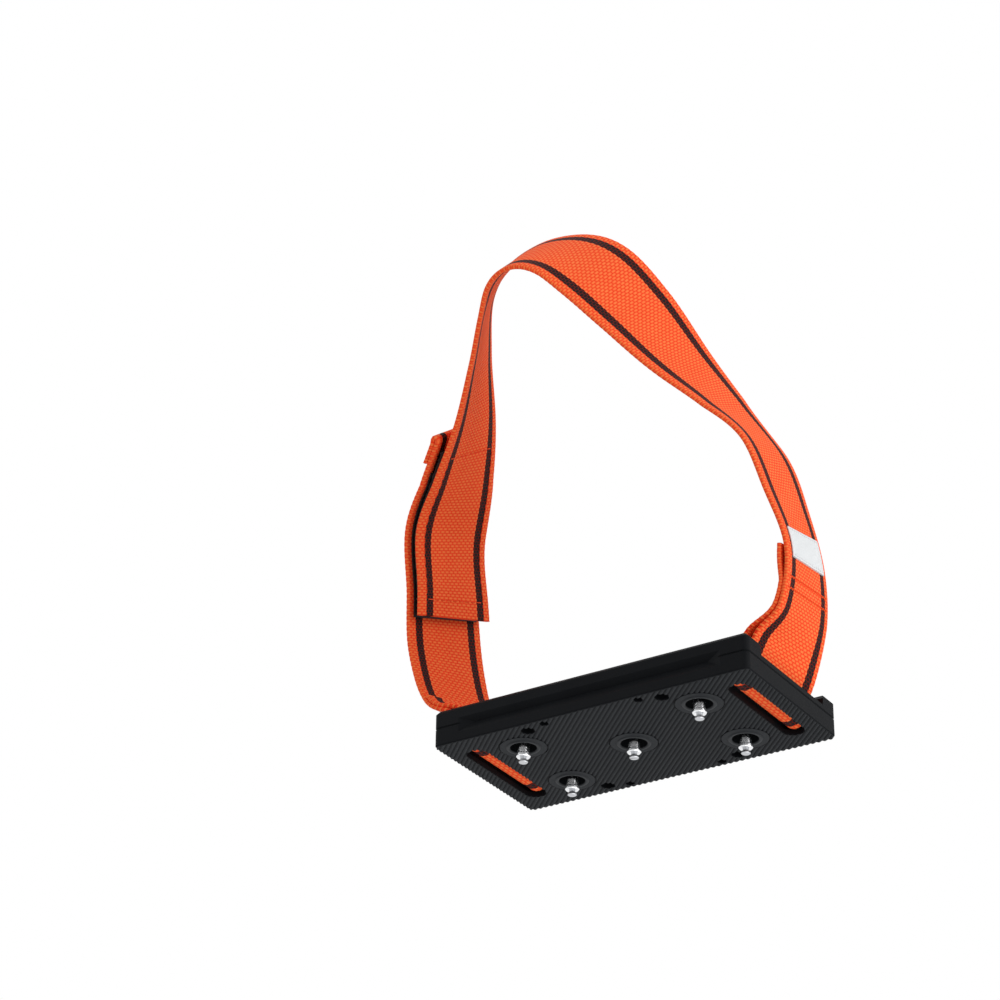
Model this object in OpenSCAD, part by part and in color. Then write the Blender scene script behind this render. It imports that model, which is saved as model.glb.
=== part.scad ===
// Mid-sole ice cleat: a studded rubber pad held under the arch by an elastic webbing strap.
// Origin at the centre of the pad's upper face, +Z up, +Y towards the heel, +X to the label side.

/* [Pad] */
// Length of the pad across the foot
pad_l = 76; // [70:1:90]
// Width of the pad along the foot
pad_w = 40; // [38:1:50]
// Radius of the pad's upright corners
corner_r = 1.3; // [1.1:0.1:3]
// Thickness of the outsole, from its tread to the parting plane
sole_t = 4; // [3.9:0.1:6]
// Thickness of the upper half, from the parting plane to the sole face
top_t = 4.2; // [4:0.1:6]
// Height of the fine tread ridges, which the stud rings are flush with
ridge_h = 0.3; // [0.1:0.05:0.6]
// Bevel along the sole face's outer edges
edge_bevel = 0.8; // [0.2:0.1:0.9]
// Bevel along the tread's outer edges
tread_bevel = 0.2; // [0.1:0.05:0.5]
// Bevel on both halves that makes the parting line
parting_bevel = 0.25; // [0.05:0.05:0.3]

/* [Side groove] */
// Depth of the groove along each long wall
groove_d = 1.2; // [0.4:0.1:1.6]
// Reach of the groove above the parting plane
groove_up = 1.3; // [0.5:0.1:2]
// Reach of the groove below the parting plane
groove_down = 2; // [0.5:0.1:2.5]
// Distance of the groove's ends from the pad's ends
groove_inset = 6.3; // [4:0.1:12]
// Length over which the groove runs out at each end
groove_run = 3.5; // [1:0.1:6]

/* [Strap bars] */
// Distance from the pad's end to the bar's axis
bar_inset = 6.1; // [5.4:0.1:8]
// How far a bar's middle lies below the joint between the two halves of the pad
bar_drop = 0.75; // [0:0.05:0.9]
// Diameter of the bar
bar_d = 3; // [2:0.1:3.4]
// Length of the bar held in the rubber at each end
bar_hold = 3; // [2:0.1:4]
// Clearance of the bar in its rubber seat
seat_clear = 0.02; // [0.01:0.01:0.1]
// Width of the slot that shows the strap in the tread
slot_w = 4.8; // [4:0.1:5.6]
// Room beside the strap in its slot
slot_clear = 0.7; // [0.6:0.1:1.5]
// Thickness of the tread under the strap loop
slot_lip = 1; // [0.6:0.1:1.2]
// Room round the strap loop inside the pad
loop_room = 0.45; // [0.3:0.05:1]
// Extra room on the outer side of the loop, for the swing of the strap
swing_room = 0.6; // [0.4:0.1:1.2]
// Thickness of the low wall at the pad's end
end_wall = 1; // [0.6:0.1:1.4]
// Drop from the sole face to the top of that wall
end_drop = 3; // [1:0.1:3.2]
// Extra half width of the end notch at its floor, past the strap
notch_floor = 0.5; // [0.2:0.1:1]
// Extra half width of the end notch at the sole face, past the strap
notch_top = 2.2; // [1:0.1:4]
// Height of the sloping part of the notch's sides, below which they are nearly upright
notch_slope = 1.3; // [0.3:0.1:2]

/* [Insert plate] */
// Thickness of the steel plate
plate_t = 1; // [0.6:0.1:1.4]
// Rubber between the plate and the strap slots
plate_wall = 1.8; // [1:0.1:4]
// Rubber between the plate and the long walls
plate_edge = 3.5; // [2.5:0.1:6]
// Corner radius of the plate
plate_r = 4; // [1:0.5:6]
// Clearance of the plate in its pocket
plate_clear = 0.1; // [0.05:0.05:0.3]

/* [Studs] */
// Distance from the plate's end to the outer studs
stud_inset = 5.7; // [5:0.1:10]
// Distance from the plate's side to the outer studs
stud_side = 6.4; // [5.5:0.1:8]
// Diameter of the recess round each stud
recess_d = 6; // [4:0.1:7]
// Diameter of the smooth ring round each recess
ring_d = 10.2; // [9.4:0.1:12]
// Diameter of the stud's base flange
flange_d = 9; // [8:0.1:10]
// Thickness of the stud's base flange
flange_t = 1.2; // [0.8:0.1:1.6]
// Diameter of the stud's shank
shank_d = 2.6; // [2.2:0.1:3]
// Length of shank that stands out of the tread
shank_out = 1.4; // [0.5:0.1:2]
// Diameter of the stud's collar
collar_d = 3.1; // [3:0.1:4]
// Thickness of the stud's collar
collar_t = 0.9; // [0.6:0.1:1.5]
// Bevel on the collar's edges
collar_bevel = 0.2; // [0.1:0.05:0.25]
// Diameter of the tail riveted through the plate
tail_d = 2.4; // [1.8:0.1:3]
// Diameter of the rivet head above the plate
rivet_d = 4.2; // [3.4:0.1:6]
// Height of the rivet head above the plate
rivet_t = 0.8; // [0.4:0.1:1.2]
// Clearance round the parts of the stud
stud_clear = 0.1; // [0.05:0.05:0.2]

/* [Carbide tips] */
// Diameter of the tip's neck
neck_d = 1.3; // [1.1:0.1:1.8]
// Length of neck below the collar
neck_l = 0.7; // [0.3:0.1:1.5]
// Depth of the tip's seat in the stud
neck_seat = 1.5; // [1:0.1:2]
// Clearance of the neck in its seat
neck_clear = 0.02; // [0.01:0.01:0.05]
// Diameter of the tip's head
head_d = 2; // [1.8:0.1:2.6]
// Thickness of the tip's head
head_t = 0.5; // [0.3:0.1:1]
// Bevel on the tip's working edge
head_bevel = 0.12; // [0.05:0.01:0.15]

/* [Moulding holes] */
// Diameter of the larger blind holes in the tread
pin_big_d = 3; // [2:0.1:3.2]
// Diameter of the smaller blind holes
pin_small_d = 1.9; // [1:0.1:2.2]
// Depth of the blind holes
pin_depth = 1.8; // [0.8:0.1:1.9]
// Distance of the larger holes from the pad's midline across the foot
pin_big_x = 16.2; // [14:0.1:18]
// Distance of the smaller holes from that midline
pin_small_x = 11.4; // [8:0.1:13]
// Distance of the larger holes from the long walls
pin_big_edge = 3.3; // [3:0.1:5]
// Distance of the smaller holes from the long walls
pin_small_edge = 1.9; // [1.6:0.1:3]

/* [Strap] */
// Width of the webbing
strap_w = 25.4; // [20:0.1:27]
// How much wider the webbing is at the bars, where it is slack
loop_spread = 1.4; // [0:0.1:2]
// Thickness of the webbing
strap_t = 1; // [0.8:0.1:1.5]
// Running clearance of the webbing loop on its bar
bar_clear = 0.05; // [0.02:0.01:0.1]
// Bevel on the edges of the webbing
web_bevel = 0.25; // [0.1:0.05:0.35]
// How far the strap stands out past its bar where the loop is widest
side_out = 11.2; // [8:0.1:20]
// Height of the strap's crest above the sole face
crest_z = 91.1; // [70:0.1:130]
// Shift of the crest towards the toe
crest_y = 43.6; // [0:0.1:60]

/* [Closure] */
// Thickness of the pile patch on the strap's end
pile_t = 0.8; // [0.5:0.1:1.2]
// Thickness of the hook patch on the flap
hook_t = 0.8; // [0.5:0.1:1.2]
// Gap between pile and hooks when closed
grip_gap = 0.3; // [0.3:0.05:0.6]
// Width of the pile and hook patches
patch_w = 22.4; // [16:0.1:24]
// Gap between the flap and the rest of its strap at the fold
fold_gap = 0.35; // [0.3:0.05:0.6]
// Gap between sewn layers
sewn_gap = 0.1; // [0.05:0.01:0.15]

/* [Label] */
// Width of the sewn label across the strap
label_w = 20.4; // [12:0.1:24]
// Thickness of the label
label_t = 0.4; // [0.2:0.1:0.8]

/* [Hidden] */
$fn = 64;
cut = 1;

// Heights
part_z = -top_t;
bar_z = part_z - bar_drop;
base_z = part_z - sole_t;
ring_z = base_z - ridge_h;
plate_z = part_z + plate_t;
flange_z = part_z - flange_t;
collar_z = ring_z - shank_out;
collar_end = collar_z - collar_t;
seat_z = collar_end + neck_seat;
head_z = collar_end - neck_l;
tip_z = head_z - head_t;

// Places that follow from the pad's size
bar_x = pad_l / 2 - bar_inset;
loop_w = strap_w + loop_spread;
loop_hole = bar_d / 2 + bar_clear;
loop_r = loop_hole + strap_t;
loop_mid = loop_hole + strap_t / 2;
well_half = loop_r + loop_room;
slot_l = loop_w + 2 * slot_clear;
bar_l = slot_l + 2 * bar_hold;
notch_lean = 0.3;
plate_l = 2 * (bar_x - well_half - plate_wall);
plate_w = pad_w - 2 * plate_edge;
stud_x = plate_l / 2 - stud_inset;
stud_y = plate_w / 2 - stud_side;
STUDS = [[-stud_x, -stud_y], [stud_x, -stud_y], [-stud_x, stud_y], [stud_x, stud_y], [0, 0]];

// Half route of the strap: share of its reach, of its lean and of its height, then the rise and turn
// of its width in degrees, from above the pad to the crest
reach = bar_x + side_out;
SHAPE = [
    [0.965, 0.019, 0.121, 14, -4],
    [1.011, 0.074, 0.25, 13, -8],
    [0.976, 0.166, 0.382, 12, -5],
    [0.919, 0.281, 0.508, 10, -2],
    [0.767, 0.405, 0.62, 19, 3],
    [0.608, 0.554, 0.728, 30, 10],
    [0.462, 0.733, 0.843, 39, 20],
    [0.329, 0.883, 0.929, 44, 24],
    [0.179, 0.969, 0.981, 43, 16],
    [0, 1, 1, 44, 0]];
exit_rise = 3;
exit_out = 2.7;
half_route = concat(
    [[bar_x + loop_mid, 0, bar_z, 0, 0], [bar_x + loop_mid + exit_out, 0, exit_rise, 0, 0]],
    [for (s = SHAPE) [s[0] * reach, -s[1] * crest_y, s[2] * crest_z, s[3], s[4]]]);
crest = len(half_route) - 1;
route = concat(half_route, [for (i = [crest - 1:-1:0]) mirrored(half_route[i])]);
last = len(route) - 1;
// Rows past both ends, which make the strap leave its loops upright
before = [half_route[1][0], 0, 2 * bar_z - exit_rise, 0, 0];
after = mirrored(before);

// Stations along the route: whole numbers are its rows
web_start = 0.1;
spread_start = 0.8;
spread_end = 3;
tail_lean = 0.25;
tail_seam = 2.4;
tail_end = 3.1;
tail_free = 0.7;
strap_end = last - 3.6;
fold = last - 3;
flap_end = last - 6.8;
hem_start = last - 6.4;
closure_tail = last - 2;
pile_span = [last - 6.6, last - 3.8];
hook_span = [last - 6.2, last - 3.6];
label_span = [2.84, 3.4];
tack_span = [last - 2, last - 1.8];
ring_step = 0.1;
fuse = 0.05;
flap_out = strap_t + pile_t + grip_gap + hook_t + 2 * sewn_gap;

function mirrored(r) = [-r[0], r[1], r[2], r[3], -r[4]];
function row(i) = i < 0 ? before : i > last ? after : route[i];
function spline(a, b, c, d, t) =
    0.5 * (2 * b + (c - a) * t + (2 * a - 5 * b + 4 * c - d) * t * t + (3 * b - a - 3 * c + d) * t * t * t);
function route_at(u) =
    let (i = min(max(floor(u), 0), last - 1)) spline(row(i - 1), row(i), row(i + 1), row(i + 2), u - i);
function unit(v) = v / norm(v);
function middle(u) = let (r = route_at(u)) [r[0], r[1], r[2]];
function heading(u) = unit(middle(min(u + 0.02, last)) - middle(max(u - 0.02, 0)));
function across(u) =
    let (r = route_at(u), t = heading(u),
         e = [cos(r[3]) * sin(r[4]), cos(r[3]) * cos(r[4]), sin(r[3])]) unit(e - (e * t) * t);
function outward(u) = cross(across(u), heading(u));
function ease(t) = let (k = min(max(t, 0), 1)) k * k * (3 - 2 * k);
// Width of the webbing as a share of its worn width: greatest at the bars
function spread(u) =
    1 + loop_spread / strap_w * ease((spread_end - min(u, last - u)) / (spread_end - spread_start));
function web_point(u, v, o) = middle(u) + v * spread(u) * across(u) + o * outward(u);
// Place of a loop's tail inside its strap: a loop's width away at the bar, sewn on at its end
function closing(u, end) =
    let (k = 1 - max(0, u - tail_lean) / (end - tail_lean))
    -2 * loop_mid + (2 * loop_mid - strap_t + fuse) * (1 - k * k);
function stations(a, b) =
    let (first = floor(a / ring_step + 0.01) + 1, end = ceil(b / ring_step - 0.01) - 1)
    concat([a], [for (i = [first:1:end]) i * ring_step], [b]);

// How far each layer's middle lies outside the route
on_route = function (u) 0;
strap_tail = function (u)
    let (k = max(0, u - tail_seam) / (tail_end - tail_seam))
    closing(min(u, tail_seam), tail_seam) - tail_free * sin(150 * k);
closure_lift = function (u) flap_out * ease((last - 0.3 - u) / 2.1);
closure_fold = function (u) closure_lift(u) + closing(last - u, last - closure_tail);
flap_lift = function (u) flap_out;
hem_lift = function (u) flap_out + strap_t - fuse;
pile_lift = function (u) strap_t / 2 + sewn_gap + pile_t / 2;
hook_lift = function (u) flap_out - strap_t / 2 - sewn_gap - hook_t / 2;
label_lift = function (u) strap_t / 2 + sewn_gap + label_t / 2;
tack_lift = function (u) closure_lift(u) + strap_t / 2 + 2 * sewn_gap + label_t / 2;

// A slab with rounded upright corners and bevelled upper and lower edges
module bevelled_slab(l, w, r, z0, z1, b0, b1) {
    function side(h) = [[b0 - h, z0], [h - b0, z0], [h, z0 + b0], [h, z1 - b1],
                        [h - b1, z1], [b1 - h, z1], [-h, z1 - b1], [-h, z0 + b0]];
    rotate([90, 0, 90]) linear_extrude(l - 2 * r, center = true) polygon(side(w / 2));
    rotate([90, 0, 0]) linear_extrude(w - 2 * r, center = true) polygon(side(l / 2));
    for (x = [-1, 1], y = [-1, 1])
        translate([x * (l / 2 - r), y * (w / 2 - r), 0])
            rotate_extrude()
                polygon([[0, z0], [r - b0, z0], [r, z0 + b0], [r, z1 - b1], [r - b1, z1], [0, z1]]);
}

// A flat slab with rounded upright corners
module rounded_slab(l, w, r, z0, z1) {
    translate([-l / 2, r - w / 2, z0]) cube([l, w - 2 * r, z1 - z0]);
    translate([r - l / 2, -w / 2, z0]) cube([l - 2 * r, w, z1 - z0]);
    for (x = [-1, 1], y = [-1, 1])
        translate([x * (l / 2 - r), y * (w / 2 - r), z0]) cylinder(r = r, h = z1 - z0);
}

// Cutter for the V groove along one long wall, which runs out at both ends
module side_groove() {
    half = pad_l / 2 - groove_inset;
    wall = pad_w / 2;
    lean = cut / groove_d;
    intersection() {
        rotate([90, 0, 90])
            linear_extrude(pad_l, center = true)
                polygon([[wall - groove_d, part_z],
                         [wall + cut, part_z + groove_up * (1 + lean)],
                         [wall + cut, part_z - groove_down * (1 + lean)]]);
        translate([0, 0, base_z])
            linear_extrude(-base_z)
                polygon([[groove_run - half, wall - groove_d], [half - groove_run, wall - groove_d],
                         [half + groove_run * lean, wall + cut], [-half - groove_run * lean, wall + cut]]);
    }
}

module side_grooves() {
    for (a = [0, 180]) rotate(a) side_groove();
}

// Cutter for both bars' rubber seats
module bar_seats() {
    for (x = [-1, 1])
        translate([x * bar_x, 0, bar_z])
            rotate([90, 0, 0])
                cylinder(d = bar_d + 2 * seat_clear, h = bar_l + 2 * seat_clear, center = true);
}

// Lower half of the pad, with its stud recesses and strap slots
module outsole() {
    color([0.05, 0.05, 0.055])
    difference() {
        union() {
            bevelled_slab(pad_l, pad_w, corner_r, base_z, part_z, tread_bevel, parting_bevel);
            for (s = STUDS) translate([s[0], s[1], ring_z]) cylinder(d = ring_d, h = ridge_h + cut);
        }
        for (s = STUDS) {
            translate([s[0], s[1], ring_z - cut]) cylinder(d = recess_d, h = flange_z - ring_z + 2 * cut);
            translate([s[0], s[1], flange_z]) cylinder(d = flange_d + 2 * stud_clear, h = flange_t + cut);
        }
        for (x = [-1, 1]) translate([x * bar_x, 0, 0]) {
            translate([-slot_w / 2, -(slot_l - slot_w) / 2, base_z - cut])
                cube([slot_w, slot_l - slot_w, sole_t + cut]);
            for (y = [-1, 1])
                translate([0, y * (slot_l - slot_w) / 2, base_z - cut])
                    cylinder(d = slot_w, h = sole_t + cut);
            mirror([x < 0 ? 1 : 0, 0, 0])
                translate([-well_half, -slot_l / 2, base_z + slot_lip])
                    cube([2 * well_half + swing_room, slot_l, sole_t]);
        }
        for (x = [-1, 1], y = [-1, 1]) {
            translate([x * pin_big_x, y * (pad_w / 2 - pin_big_edge), base_z - cut])
                cylinder(d = pin_big_d, h = pin_depth + cut);
            translate([x * pin_small_x, y * (pad_w / 2 - pin_small_edge), base_z - cut])
                cylinder(d = pin_small_d, h = pin_depth + cut);
        }
        bar_seats();
        side_grooves();
    }
}

// Upper half of the pad, with the plate's pocket and the strap's way out at both ends
module top_pad() {
    well_l = bar_inset - end_wall + well_half;
    floor_half = loop_w / 2 + notch_floor;
    top_half = loop_w / 2 + notch_top;
    side_half = floor_half + notch_lean;
    slope_z = -min(notch_slope, end_drop - notch_lean);
    color([0.06, 0.06, 0.065])
    difference() {
        bevelled_slab(pad_l, pad_w, corner_r, part_z, 0, parting_bevel, edge_bevel);
        rounded_slab(plate_l + 2 * plate_clear, plate_w + 2 * plate_clear, plate_r + plate_clear,
                     part_z - cut, plate_z);
        for (s = STUDS)
            translate([s[0], s[1], part_z])
                cylinder(d = rivet_d + 2 * stud_clear, h = plate_t + rivet_t + stud_clear);
        for (a = [0, 180]) rotate(a) {
            translate([bar_x - well_half, -slot_l / 2, part_z - cut])
                cube([well_l, slot_l, top_t + 2 * cut]);
            translate([bar_x, 0, 0])
                rotate([90, 0, 90])
                    linear_extrude(bar_inset + cut)
                        polygon([[-floor_half, -end_drop], [floor_half, -end_drop], [side_half, slope_z],
                                 [top_half, 0], [top_half, cut], [-top_half, cut], [-top_half, 0],
                                 [-side_half, slope_z]]);
        }
        bar_seats();
        side_grooves();
    }
}

// Steel plate that the studs are riveted to
module insert_plate() {
    color([0.6, 0.61, 0.63])
    difference() {
        rounded_slab(plate_l, plate_w, plate_r, part_z, plate_z);
        for (s = STUDS)
            translate([s[0], s[1], part_z - cut])
                cylinder(d = tail_d + 2 * stud_clear, h = plate_t + 2 * cut);
    }
}

// Steel stud: rivet head, tail, base flange, shank and collar, with a blind seat for the tip
module stud_body(i) {
    seat_r = neck_d / 2 + neck_clear;
    color([0.75, 0.76, 0.78])
    translate([STUDS[i][0], STUDS[i][1], 0])
        rotate_extrude()
            polygon([[0, plate_z + rivet_t], [rivet_d / 2, plate_z + rivet_t], [rivet_d / 2, plate_z],
                     [tail_d / 2, plate_z], [tail_d / 2, part_z], [flange_d / 2, part_z],
                     [flange_d / 2, flange_z], [shank_d / 2, flange_z], [shank_d / 2, collar_z],
                     [collar_d / 2, collar_z - collar_bevel], [collar_d / 2, collar_end + collar_bevel],
                     [collar_d / 2 - collar_bevel, collar_end], [seat_r, collar_end], [seat_r, seat_z],
                     [0, seat_z]]);
}

// Carbide tip: a neck in the stud's seat and a flat working head
module carbide_tip(i) {
    color([0.55, 0.56, 0.58])
    translate([STUDS[i][0], STUDS[i][1], 0])
        rotate_extrude()
            polygon([[0, seat_z], [neck_d / 2, seat_z], [neck_d / 2, head_z], [head_d / 2, head_z],
                     [head_d / 2, tip_z + head_bevel], [head_d / 2 - head_bevel, tip_z], [0, tip_z]]);
}

// Steel bar that the webbing turns round, at the end named by side
module strap_bar(side) {
    color([0.7, 0.71, 0.73])
    translate([side * bar_x, 0, bar_z]) rotate([90, 0, 0]) cylinder(d = bar_d, h = bar_l, center = true);
}

// Layer of webbing between two stations, lifted off the route by a function
module webbing(from, to, width, thick, bevel, lift) {
    us = stations(from, to);
    v = width / 2;
    o = thick / 2;
    section = [[o, bevel - v], [o, v - bevel], [o - bevel, v], [bevel - o, v],
               [-o, v - bevel], [-o, bevel - v], [bevel - o, -v], [o - bevel, -v]];
    k = len(section);
    rings = len(us);
    points = [for (u = us, s = section) web_point(u, s[1], lift(u) + s[0])];
    sides = [for (r = [0:rings - 2], i = [0:k - 1])
             let (a = r * k + i, b = r * k + (i + 1) % k) each [[a, a + k, b + k], [a, b + k, b]]];
    ends = [[for (i = [0:k - 1]) i], [for (i = [k - 1:-1:0]) (rings - 1) * k + i]];
    polyhedron(points, concat(sides, ends), convexity = 6);
}

// Sewn loop of webbing round the bar at the end named by side
module bar_loop(side) {
    translate([side * bar_x, 0, bar_z])
        rotate([90, 0, 0])
            difference() {
                cylinder(r = loop_r, h = loop_w, center = true);
                cylinder(r = loop_hole, h = loop_w + cut, center = true);
            }
}

// Elastic strap: looped on the right bar, over the instep, down to its free end on the left
module instep_webbing() {
    color([1, 0.32, 0.08]) {
        bar_loop(1);
        webbing(web_start, strap_end, strap_w, strap_t, web_bevel, on_route);
        webbing(web_start, tail_end, strap_w, strap_t, web_bevel, strap_tail);
    }
}

// Blank woven label sewn over the end of the strap's tail
module label() {
    color("white") webbing(label_span[0], label_span[1], label_w, label_t, label_t / 4, label_lift);
}

// Pile patch on the outer face of the strap's free end
module pile_patch() {
    color([0.08, 0.08, 0.09]) webbing(pile_span[0], pile_span[1], patch_w, pile_t, pile_t / 4, pile_lift);
}

// Short closure strap looped on the left bar, up to its fold
module closure_webbing() {
    fold_end = fold + (strap_t / 2 + fold_gap) / norm(middle(fold + 0.5) - middle(fold - 0.5));
    color([1, 0.32, 0.08]) {
        bar_loop(-1);
        webbing(fold_end, last - web_start, strap_w, strap_t, web_bevel, closure_lift);
        webbing(closure_tail, last - web_start, strap_w, strap_t, web_bevel, closure_fold);
    }
}

// Row of close stitches that shuts the closure strap's loop
module closure_tack() {
    color([0.9, 0.25, 0.05]) webbing(tack_span[0], tack_span[1], patch_w, label_t, label_t / 4, tack_lift);
}

// Flap of the closure strap, from its fold to a hemmed pull end
module flap_webbing() {
    color([1, 0.32, 0.08]) {
        webbing(flap_end, fold, strap_w, strap_t, web_bevel, flap_lift);
        webbing(flap_end, hem_start, strap_w, strap_t, web_bevel, hem_lift);
    }
}

// Hook patch on the inner face of the flap
module hook_patch() {
    color([0.1, 0.1, 0.1]) webbing(hook_span[0], hook_span[1], patch_w, hook_t, hook_t / 4, hook_lift);
}

outsole();
top_pad();
insert_plate();
stud_body(0);  // stud_toe_left
stud_body(1);  // stud_toe_right
stud_body(2);  // stud_heel_left
stud_body(3);  // stud_heel_right
stud_body(4);  // stud_centre
carbide_tip(0);  // tip_toe_left
carbide_tip(1);  // tip_toe_right
carbide_tip(2);  // tip_heel_left
carbide_tip(3);  // tip_heel_right
carbide_tip(4);  // tip_centre
strap_bar(1);  // right_bar
strap_bar(-1);  // left_bar
instep_webbing();
label();
pile_patch();
closure_webbing();
closure_tack();
flap_webbing();
hook_patch();
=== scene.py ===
# %% [markdown]
# # A strap-on ice cleat
# The object is a rubber pad with five steel studs, held under the arch by a loop of orange elastic
# webbing. The packed model gives the hard pieces: both rubber halves, the studs and the bars. This
# script dresses them, and adds what the solids leave plain: the woven strap, its sewing, and the fine
# ridges of the tread.

import bpy
import numpy as np
from mathutils import Matrix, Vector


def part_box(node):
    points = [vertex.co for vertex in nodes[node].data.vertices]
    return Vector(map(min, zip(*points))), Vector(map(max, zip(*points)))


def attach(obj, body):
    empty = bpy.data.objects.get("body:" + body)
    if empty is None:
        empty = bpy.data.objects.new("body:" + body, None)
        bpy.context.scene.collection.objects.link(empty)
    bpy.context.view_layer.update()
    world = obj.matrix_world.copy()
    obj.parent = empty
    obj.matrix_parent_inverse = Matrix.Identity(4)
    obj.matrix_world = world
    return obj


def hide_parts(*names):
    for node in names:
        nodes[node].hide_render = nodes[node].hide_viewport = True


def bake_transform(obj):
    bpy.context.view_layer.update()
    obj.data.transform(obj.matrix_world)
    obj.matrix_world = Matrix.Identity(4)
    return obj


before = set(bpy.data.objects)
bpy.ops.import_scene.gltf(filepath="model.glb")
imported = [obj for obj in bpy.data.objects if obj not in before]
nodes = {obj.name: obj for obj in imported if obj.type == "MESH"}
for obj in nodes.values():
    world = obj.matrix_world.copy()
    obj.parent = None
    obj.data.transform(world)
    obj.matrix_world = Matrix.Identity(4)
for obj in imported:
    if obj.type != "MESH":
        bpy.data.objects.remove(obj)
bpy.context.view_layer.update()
MM = 0.001

# %% [markdown]
# ## The camera
# The picture is taken from below and from the toe side, through a long lens, so that the tread and its
# studs face the viewer. The angles and the distance were fitted to the pad's corners and to the studs.
# A camera looks along its own -Z, so its third axis points from the pad back to the camera.

# %% Set the camera
TREAD_Z = -8.5
# Angles in degrees, and the camera's place in mm along its own three axes, from the tread's middle
AZIMUTH, ELEVATION, ROLL = 32.503, -29.053, 0.659
AWAY, LEFTWARD, UPWARD = 638.1, 28.504, 51.758
SENSOR_MM, LENS_MM = 36, 108


def camera_axes(azimuth, elevation, roll):
    """Right, up and back axes: back points at the azimuth and elevation, and roll turns the other two."""
    a, e, r = np.radians([azimuth, elevation, roll])
    away = np.array([np.sin(a) * np.cos(e), -np.cos(a) * np.cos(e), np.sin(e)])
    side = np.cross([0, 0, 1], away)
    side /= np.linalg.norm(side)
    top = np.cross(away, side)
    return np.cos(r) * side + np.sin(r) * top, np.cos(r) * top - np.sin(r) * side, away


def placed(x_axis, y_axis, z_axis, place):
    """The matrix of an object that has these three axes and stands at a place in metres."""
    matrix = np.eye(4)
    matrix[:3] = np.stack([x_axis, y_axis, z_axis, place], axis=1)
    return Matrix(matrix.tolist())


right, up, back = camera_axes(AZIMUTH, ELEVATION, ROLL)
eye = AWAY * back - LEFTWARD * right + UPWARD * up + [0, 0, TREAD_Z]
lens = bpy.data.cameras.new("camera")
lens.sensor_width = SENSOR_MM
lens.lens = LENS_MM
lens.clip_start = 0.01
lens.clip_end = 20
camera = bpy.data.objects.new("camera", lens)
camera.matrix_world = placed(right, up, back, eye * MM)
scene = bpy.context.scene
scene.collection.objects.link(camera)
scene.camera = camera
scene.view_settings.view_transform = "Standard"
print("camera at", np.round(eye, 1).tolist(), "mm")

# %% [markdown]
# ## Shader expressions
# A shader is a net of nodes, and a long net is hard to read. Here a socket is wrapped in a small class,
# so that `1 - mask` or `height * 0.5` adds the Math node that it stands for. Every other node comes from
# one method, which takes the node's type, its settings and what goes into its sockets.

# %% A socket that can be used in expressions


class Shade:
    """One output socket of a shader tree, with arithmetic."""

    def __init__(self, tree, socket=None):
        self.tree, self.socket = tree, socket

    def make(self, kind, settings=None, inputs=None, out=0):
        """Adds a node, sets its settings first and then its sockets, and returns one of its outputs."""
        node = self.tree.nodes.new(kind)
        for name, value in (settings or {}).items():
            setattr(node, name, value)
        for key, value in (inputs or {}).items():
            if isinstance(value, Shade):
                self.tree.links.new(value.socket, node.inputs[key])
            else:
                node.inputs[key].default_value = value
        return Shade(self.tree, node.outputs[out] if len(node.outputs) else None)

    def math(self, operation, *values):
        return self.make("ShaderNodeMath", {"operation": operation}, dict(enumerate(values)))

    def __add__(self, other):
        return self.math("ADD", self, other)

    __radd__ = __add__

    def __sub__(self, other):
        return self.math("SUBTRACT", self, other)

    def __rsub__(self, other):
        return self.math("SUBTRACT", other, self)

    def __mul__(self, other):
        return self.math("MULTIPLY", self, other)

    __rmul__ = __mul__

    def __truediv__(self, other):
        return self.math("DIVIDE", self, other)

    def __rtruediv__(self, other):
        return self.math("DIVIDE", other, self)

    def __lt__(self, other):
        return self.math("LESS_THAN", self, other)

    def either(self, other):
        return self.math("MAXIMUM", self, other)

    def floor(self):
        return self.math("FLOOR", self)

    def fract(self):
        return self.math("FRACT", self)

    def wave(self):
        return self.math("SINE", self)

    def size(self):
        return self.math("ABSOLUTE", self)

    def root(self):
        return self.math("SQRT", self)

    def rise(self, low, high):
        """0 below low, 1 above high, and a smooth rise between them."""
        ends = {0: self, 1: low, 2: high, 3: 0.0, 4: 1.0}
        return self.make("ShaderNodeMapRange", {"interpolation_type": "SMOOTHSTEP"}, ends)

    def blend(self, dark, light):
        """The colour dark where this value is 0, and light where it is 1."""
        return self.make("ShaderNodeMix", {"data_type": "RGBA"}, {0: self, 6: dark, 7: light}, out=2)

    def parts(self):
        """The three parts of a vector."""
        split = self.make("ShaderNodeSeparateXYZ", None, {0: self}).socket.node
        return [Shade(self.tree, socket) for socket in split.outputs]


print("operators ready:", sum(name.startswith("__") for name in vars(Shade)))

# %% [markdown]
# ## World, floor and soft boxes
# The cleat stands on its stud tips. The camera looks up through the floor, so the floor is a sheet that
# shows its upper side only, and that neither reflects in the pad nor shades it. The world is white to the
# eye and in reflections, and a softer grey as a light. Large square lamps stand round the cleat, as soft
# boxes would.

# %% White world
AMBIENT = 0.5
SEEN_BY = ("Camera", "Glossy", "Transmission")
world = bpy.data.worlds.new("studio")
world.use_nodes = True
world.node_tree.nodes.clear()
sky = Shade(world.node_tree)
rays = [sky.make("ShaderNodeLightPath", out=f"Is {kind} Ray") for kind in SEEN_BY]
strength = AMBIENT + (1 - AMBIENT) * rays[0].either(rays[1]).either(rays[2])
glow = sky.make("ShaderNodeBackground", None, {"Color": (1, 1, 1, 1), "Strength": strength})
sky.make("ShaderNodeOutputWorld", None, {0: glow})
scene.world = world
print("world nodes:", len(world.node_tree.nodes))

# %% Floor under the stud tips
FLOOR_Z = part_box("tip_centre")[0][2]
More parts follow.
